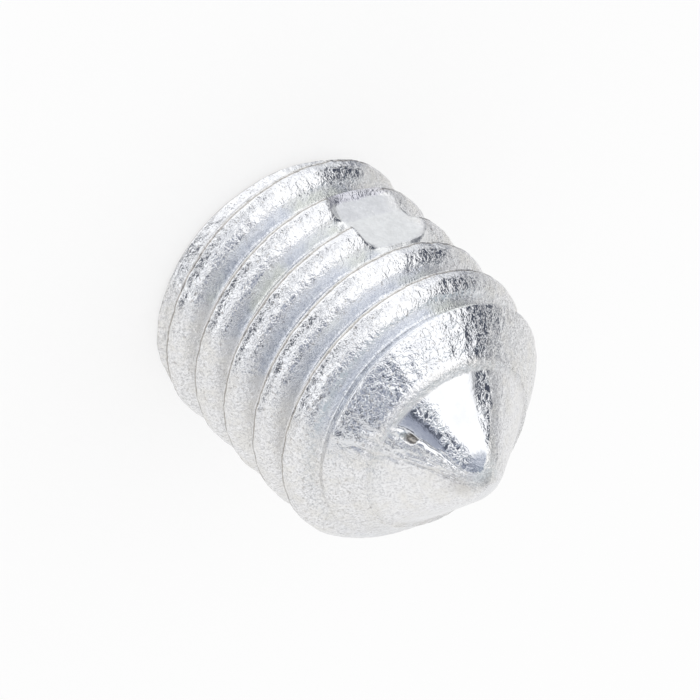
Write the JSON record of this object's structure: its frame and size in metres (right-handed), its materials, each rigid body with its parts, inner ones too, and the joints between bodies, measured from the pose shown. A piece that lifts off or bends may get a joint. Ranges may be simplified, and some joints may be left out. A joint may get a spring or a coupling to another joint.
{
  "type": "connecting screw",
  "caption": "Short headless machine screw with a coarse rolled thread, a blunt cone point and a hexagon socket in its flat end.",
  "frame": {"origin": "centre of the flat drive end, on the axis of the thread", "axes": "+Z along the axis, from the drive end to the point; X and Y across it, with the thread's crest leaving the drive end 49 degrees from +X towards +Y"},
  "size_m": [0.005, 0.005, 0.006],
  "materials": {
    "zinc_steel": "bright zinc plating: rough and grainy on crests and shoulder, smooth on flanks, polished on the inner cone"
  },
  "bodies": {
    "root": {"screw": "zinc_steel"}
  },
  "joints": []
}
